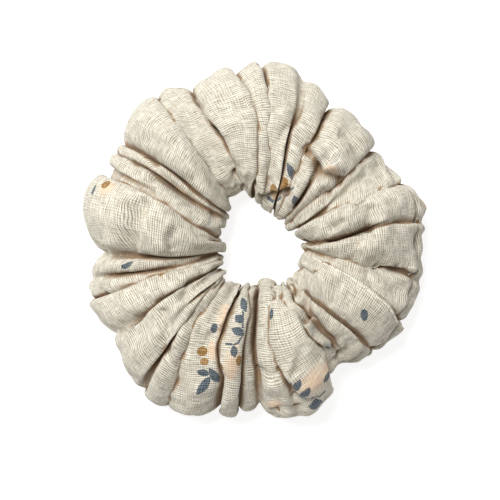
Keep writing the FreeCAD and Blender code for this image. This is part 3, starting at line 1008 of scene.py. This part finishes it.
def motif_mask(nodes, name, softness, raggedness, rag):
    """1 inside the printed motifs of a layer, and the layer's ink."""
    s, t, ends = nodes.split(nodes.attribute(name + "_place")["Vector"])
    ink = nodes.attribute(name + "_ink")
    inside = nodes.math("MAXIMUM", nodes.times(nodes.times(s, 4.0), nodes.minus(1.0, s)), 0.0)
    outline = nodes.math("POWER", nodes.math("MAXIMUM", inside, 0.0001), ends)
    outline = nodes.times(outline, nodes.math("GREATER_THAN", inside, 0.0))
    across = nodes.math("ABSOLUTE", t)
    ragged = nodes.times(nodes.minus(rag, 0.5), raggedness)
    full = nodes.ramp(nodes.plus(nodes.minus(outline, across), ragged), 0.0, softness)
    left_plain = nodes.minus(nodes.times(outline, ink["Alpha"]), across)
    hollow = nodes.times(nodes.ramp(left_plain, 0.0, softness), nodes.math("GREATER_THAN", ink["Alpha"], 0.1))
    return nodes.minus(full, hollow, clamp=True), ink["Color"]


def gauze():
    """Cream gauze with its print, paler on the yarns, with painted shade in the pores between them, and
    darkened to a painted brown shade deep in the creases.
    """
    nodes = Nodes("printed_gauze")
    place = nodes.cloth_place()
    height = threads_height(nodes, place)
    # The yarns' cream, with painted shade in the pores between them
    cream = nodes.mix(nodes.ramp(height, 0.05, 0.85), CREAM_PORE_SHADE, CREAM_LIGHT)
    mottle = nodes.ramp(nodes.noise(place, 0.09, 3.0), 0.45, 0.8)
    cream = nodes.mix(nodes.times(mottle, 0.22), cream, CREAM_WARM)
    wash, wash_ink = motif_mask(nodes, "wash", 0.8, 1.1, nodes.noise(place, 0.35, 3.0))
    colour = nodes.mix(nodes.times(wash, 0.42), cream, wash_ink)
    # The ink lies on the yarns, a little worn, darker between them with painted shade, and lighter on their
    # tops with painted light
    mask, ink = motif_mask(nodes, "motif", 0.10, 0.45, nodes.noise(place, 1.7, 2.0))
    worn = nodes.times(mask, nodes.plus(0.80, nodes.times(nodes.ramp(height, 0.8, 0.2), 0.2)))
    shade = nodes.mix(nodes.ramp(height, 0.15, 0.9), (0.55, 0.55, 0.55), (1.25, 1.25, 1.25))
    colour = nodes.mix(worn, colour, nodes.mix(1.0, ink, shade, "MULTIPLY"))
    # Painted shade: the colour is darkened to brown where other cloth is close in front of it, deep in the
    # creases
    hollow = nodes.ramp(nodes.attribute("crease")["Fac"], 0.07, 0.42)
    colour = nodes.mix(nodes.times(hollow, 0.8), colour, CREASE_PAINTED_SHADE)
    nodes.shader.inputs["Specular IOR Level"].default_value = 0.15
    nodes.shader.inputs["Sheen Weight"].default_value = 0.12
    nodes.shader.inputs["Sheen Roughness"].default_value = 0.6
    return nodes.finish(colour, 0.92, height, 0.00028, 0.9)


def cotton_thread():
    """Thread with a fine twist."""
    nodes = Nodes("cotton_thread")
    x, y, _ = nodes.split(nodes.cloth_place())
    twist = nodes.math("SINE", nodes.plus(nodes.times(x, 9.0), nodes.times(y, 5.0)))
    colour = nodes.mix(nodes.ramp(twist, -1, 1), (0.72, 0.67, 0.57), (0.93, 0.89, 0.80))
    return nodes.finish(colour, 0.75, twist, 0.00006, 0.6)


def woven_elastic():
    """Elastic with ribs along it and picks across it."""
    nodes = Nodes("woven_elastic")
    x, y, _ = nodes.split(nodes.cloth_place())
    height = nodes.plus(nodes.times(nodes.wave(y, 0.75), 0.6), nodes.times(nodes.wave(x, 0.9), 0.4))
    colour = nodes.mix(nodes.ramp(height, -1, 1), (0.55, 0.54, 0.51), (0.86, 0.85, 0.82))
    return nodes.finish(colour, 0.8, height, 0.00012, 0.6)


# ---------------------------------------------------------------- thread and elastic

THREAD_RADIUS = 0.2
STITCH_GAP = 0.4
STITCH_SIDES = 8
# (share of the stitch's length, share of its radius, share of the dip into the cloth)
STITCH_RINGS = [(0.0, 0.45, 1.0), (0.06, 0.85, 0.7), (0.2, 1.0, 0.15), (0.5, 1.0, 0.0), (0.8, 1.0, 0.15),
                (0.94, 0.85, 0.7), (1.0, 0.45, 1.0)]
DIP = 0.15
SHORTEST, LONGEST = 1.0, 5.0    # mm between the ends of a stitch. Where the cloth is pinched, it is left out
STITCH_POINTS = 4           # points of the cloth from one end of a stitch to the next
PRESSED_IN = 0.05           # how far the closing seam's thread stands out underneath, pressed by the table


def bar(start, along, rim, inward=False):
    """The faces of a bar made of rings of points, and their corners' flat coordinates. Start is the number of
    its first point, along gives the place of each ring, and rim that of each side and of the first again."""
    sides = len(rim) - 1
    faces, corners = [], []
    for ring, (low, high) in enumerate(zip(along, along[1:])):
        first = start + ring * sides
        for side in range(sides):
            after = (side + 1) % sides
            faces.append((first + side, first + after, first + sides + after, first + sides + side))
            corners.append([(low, rim[side]), (low, rim[side + 1]), (high, rim[side + 1]), (high, rim[side])])
    last = start + (len(along) - 1) * sides
    faces.append(tuple(range(start + sides - 1, start - 1, -1)))
    faces.append(tuple(range(last, last + sides)))
    corners += [[(0.0, 0.0)] * sides] * 2
    if inward:
        faces = [face[::-1] for face in faces]
        corners = [face[::-1] for face in corners]
    return faces, [corner for face in corners for corner in face]


def stitches_mesh(name, runs):
    """Lengths of thread, each given as its start, its end and the direction away from the cloth, in mm."""
    rim = np.arange(STITCH_SIDES + 1) * 2 * math.pi * THREAD_RADIUS / STITCH_SIDES
    points, faces, corners = [], [], []
    for start, end, up in runs:
        line = end - start
        size = np.linalg.norm(line)
        line = line / size
        start = start + line * STITCH_GAP / 2
        size -= STITCH_GAP
        side = unit(np.cross(line, up))
        top = np.cross(side, line)
        own_faces, own_corners = bar(len(points), [ring[0] * size for ring in STITCH_RINGS], rim)
        faces += own_faces
        corners += own_corners
        for share, swell, dip in STITCH_RINGS:
            middle = start + line * size * share - top * DIP * dip
            for index in range(STITCH_SIDES):
                turn = 2 * math.pi * index / STITCH_SIDES
                points.append(middle + (side * math.cos(turn) + top * math.sin(turn)) * THREAD_RADIUS * swell)
    return cloth_mesh(name, points, faces, corners)


def row_of_stitches(line, ups, lift):
    """Stitches along a line of points, lifted off the cloth."""
    marks = range(0, len(line), STITCH_POINTS)
    runs = []
    for first, second in zip(marks, marks[1:]):
        up = unit(ups[first] + ups[second])
        start, end = line[first] + up * lift, line[second] + up * lift
        if SHORTEST < np.linalg.norm(end - start) < LONGEST:
            runs.append((start, end, up))
    return runs


BAND_RADIUS = 24.0
BAND_THICKNESS = 1.0
BAND_WIDTH = 6.0
BAND_MIDDLE = 9.0           # height of the band's centre line: it rides up off the lower wall in the folds
BAND_OVERLAP = 12.0
BAND_LAP_ANGLE = -360.0 / 14
BAND_STEPS = 240
BAND_CORNER = 0.3           # its edges are rounded to this radius,
CORNER_STEPS = 4            # with this many points each
LAP_SPACE = 0.05            # between the lapped ends, in mm
LAP_CLIMB = 3               # the end climbs onto the other over this many overlaps
ZIGZAGS = 8
ZIGZAG_REACH = 0.4          # it runs over this share of the overlap to each side of its middle
ZIGZAG_RISE = 1.8           # and this far up and down
ZIGZAG_LIFT = 0.1           # off the elastic's faces


def elastic_mesh():
    """One strip standing on edge, bent to a loop, its ends lapping over each other."""
    lap = math.degrees(BAND_OVERLAP / (BAND_RADIUS + BAND_THICKNESS))
    outline = []
    for quarter, (across, up) in enumerate(((1, 1), (-1, 1), (-1, -1), (1, -1))):
        for step in range(CORNER_STEPS):
            turn = math.radians(90 * quarter + 90 * step / (CORNER_STEPS - 1))
            outline.append((across * (BAND_THICKNESS / 2 - BAND_CORNER) + BAND_CORNER * math.cos(turn),
                            up * (BAND_WIDTH / 2 - BAND_CORNER) + BAND_CORNER * math.sin(turn)))
    outline = np.array(outline)
    sides = np.linalg.norm(np.roll(outline, -1, 0) - outline, axis=1)
    rim = np.concatenate([[0], np.cumsum(sides)])
    share = np.linspace(0, 1, BAND_STEPS + 1)
    turned = share * (360 + lap)
    climb = np.clip((turned - 360) / (LAP_CLIMB * lap) + 1, 0, 1)
    radius = BAND_RADIUS + BAND_THICKNESS / 2 + (BAND_THICKNESS + LAP_SPACE) * climb ** 2 * (3 - 2 * climb)
    angle = np.radians(BAND_LAP_ANGLE - lap / 2 + turned)[:, None]
    reach = radius[:, None] + outline[:, 0]
    height = np.broadcast_to(BAND_MIDDLE + outline[:, 1], reach.shape)
    points = np.stack([reach * np.cos(angle), reach * np.sin(angle), height], -1)
    length = math.radians(360 + lap) * (BAND_RADIUS + BAND_THICKNESS / 2)
    return cloth_mesh("elastic_loop", points, *bar(0, share * length, rim, inward=True))


def zigzag(side):
    """The zigzag over the elastic's lap: side is +1 on its outer face and -1 on its inner one."""
    radius = BAND_RADIUS + BAND_THICKNESS + side * (BAND_THICKNESS + ZIGZAG_LIFT)
    corners = []
    for index in range(ZIGZAGS + 1):
        along = BAND_OVERLAP * ZIGZAG_REACH * (2 * index / ZIGZAGS - 1)
        turn = math.radians(BAND_LAP_ANGLE) + along / radius
        way = np.array([math.cos(turn), math.sin(turn), 0.0])
        rise = ZIGZAG_RISE if index % 2 else -ZIGZAG_RISE
        corners.append((way * radius + np.array([0.0, 0.0, BAND_MIDDLE + rise]), way * side))
    return [(start, end, up + next_up) for (start, up), (end, next_up) in zip(corners, corners[1:])]


# ---------------------------------------------------------------- build

random = np.random.default_rng(SEED)
seed, grips, total, starts, shares = seed_cloth(random)
cell_u, cell_v = total / len(seed), TUBE_ROUND / ROWS
cloth = relax(seed, grips, cell_u, cell_v)
cloth = finer_line(finer_line(cloth, 0), 1)
cell_u, cell_v = cell_u / FINER, cell_v / FINER
closing = int(starts[CLOSING_CREASE]) * FINER + CLOSING_SHIFT
cloth = lap_over(cloth, starts, shares, cell_u)
cloth = crumple(cloth, random, cell_u)
cloth = sew_seams(cloth, closing, cell_u, cell_v)
cloth[..., 2] = np.maximum(cloth[..., 2], TABLE_GAP / 2)
# How folded in each point is: it tucks the cloth into the tube, and then sets the painted crease shade
tuck_and_painted_shade = folded_in(cloth)
away = out_of_tube(cloth)
cloth -= away * (TUCK * tuck_and_painted_shade ** 2)[..., None]
# Underneath, the cloth is pressed flat, so little of it is really folded in, and little of the painted crease
# shade is kept there
tuck_and_painted_shade *= np.maximum(off_table(away)[..., 0], LEAST_SHADE)

strip, uv_v = open_strip(cloth, cell_v)
uv_u = np.arange(len(strip) + 1) * cell_u
mesh = strip_mesh("gathered_cover", strip, uv_u, uv_v)
seam_at = SEAM_ROW * FINER
tuck_and_painted_shade = np.roll(tuck_and_painted_shade, -seam_at, 1)
edge = tuck_and_painted_shade[:, :1]
tuck_and_painted_shade = np.concatenate([edge.repeat(ALLOWANCE_STEPS, 1), tuck_and_painted_shade, edge.repeat(ALLOWANCE_STEPS + 1, 1)], 1)
# The painted crease shade, stored at the mesh's points for the material
crease = mesh.attributes.new("crease", "FLOAT", "POINT")
crease.data.foreach_set("value", tuck_and_painted_shade.astype(np.float32).ravel())
cloth_map = ClothMap(mesh, total)
motifs, washes = printed_motifs(cloth_map, random)
print_layer(mesh, cloth_map, "motif", motifs)
print_layer(mesh, cloth_map, "wash", washes)
cover = add_piece("gathered_cover", mesh, gauze(), "cotton_gauze", "fabric_cover")

SEAM_END = 4                # rows of the cloth left free at each end of the closing seam
SEAM_INSET = 2              # columns from the lapped edge to its stitches
thread = cotton_thread()


def add_stitches(name, runs, node):
    """A row of stitches in sewing thread, in place of this node."""
    add_piece(name, stitches_mesh(name, runs), thread, "sewing_thread", node)


outward = normals(cloth)
seam_column = (closing - SEAM_INSET) % len(cloth)
for name, node, first, last, lift in (
        ("closing_topstitch", "closing_seam_needle_thread", 0, seam_at, THREAD_RADIUS),
        ("closing_understitch", "closing_seam_bobbin_thread", seam_at, 2 * seam_at, PRESSED_IN)):
    rows = slice(first + SEAM_END, last - SEAM_END + 1)
    add_stitches(name, row_of_stitches(cloth[seam_column, rows], outward[seam_column, rows], lift), node)
inner = ALLOWANCE_STEPS - 1
across = unit(strip[:, inner] - strip[:, -inner - 1])
across = np.concatenate([across, across[:1]])
for name, node, row, way in (
        ("long_seam_stitches", "long_seam_needle_thread", inner, 1),
        ("long_seam_locks", "long_seam_bobbin_thread", -inner - 1, -1)):
    line = np.concatenate([strip[:, row], strip[:1, row]])
    add_stitches(name, row_of_stitches(line, across * way, THREAD_RADIUS), node)

add_piece("elastic_loop", elastic_mesh(), woven_elastic(), "woven_elastic", "elastic_band")
add_stitches("elastic_zigzag", zigzag(1), "elastic_join_needle_thread")
add_stitches("elastic_zigzag_locks", zigzag(-1), "elastic_join_bobbin_thread")

# ---------------------------------------------------------------- camera, light and table

LOOK_AT = (-0.00096, -0.0035, 0.013)
FIELD = 0.1595              # what the frame takes in, at the height of the folds
SENSOR = 36.0
LENS = 120.0
KEY_PLACE = (-0.22, 0.29, 0.58)
KEY_TARGET = (0, 0, 0.01)
KEY_SIZE = 0.46
KEY_POWER = 6.3
WORLD_STRENGTH = 0.40
TABLE_HALF = 1.5
PAPER = 0.45                # the table is pale grey,
PAPER_GLOW = 0.75           # and glows, painted light that keeps it white and lifts the ring's shadow off it

scene = bpy.context.scene
scene.view_settings.view_transform = "Standard"
camera_data = bpy.data.cameras.new("camera")
camera_data.lens = LENS
camera_data.sensor_width = SENSOR
camera = bpy.data.objects.new("camera", camera_data)
camera.location = (LOOK_AT[0], LOOK_AT[1], LOOK_AT[2] + LENS * FIELD / SENSOR)
scene.collection.objects.link(camera)
scene.camera = camera

world = bpy.data.worlds.new("world")
scene.world = world
world.use_nodes = True
world.node_tree.nodes["Background"].inputs["Color"].default_value = (1, 1, 1, 1)
world.node_tree.nodes["Background"].inputs["Strength"].default_value = WORLD_STRENGTH

key_data = bpy.data.lights.new("key", "AREA")
key_data.shape = "DISK"
key_data.size = KEY_SIZE
key_data.energy = KEY_POWER
key = bpy.data.objects.new("key", key_data)
key.location = KEY_PLACE
key.rotation_mode = "QUATERNION"
key.rotation_quaternion = (Vector(KEY_TARGET) - Vector(KEY_PLACE)).to_track_quat("-Z", "Y")
scene.collection.objects.link(key)

floor_mesh = bpy.data.meshes.new("table")
corners = [(x * TABLE_HALF, y * TABLE_HALF, 0) for x, y in ((-1, -1), (1, -1), (1, 1), (-1, 1))]
floor_mesh.from_pydata(corners, [], [(0, 1, 2, 3)])
floor = bpy.data.objects.new("table", floor_mesh)
scene.collection.objects.link(floor)
paper = Nodes("paper")
# Painted light: the table glows, which lifts the ring's shadow off it
paper.shader.inputs["Emission Color"].default_value = (1, 1, 1, 1)
paper.shader.inputs["Emission Strength"].default_value = PAPER_GLOW
floor_mesh.materials.append(paper.finish((PAPER, PAPER, PAPER, 1), 1.0))
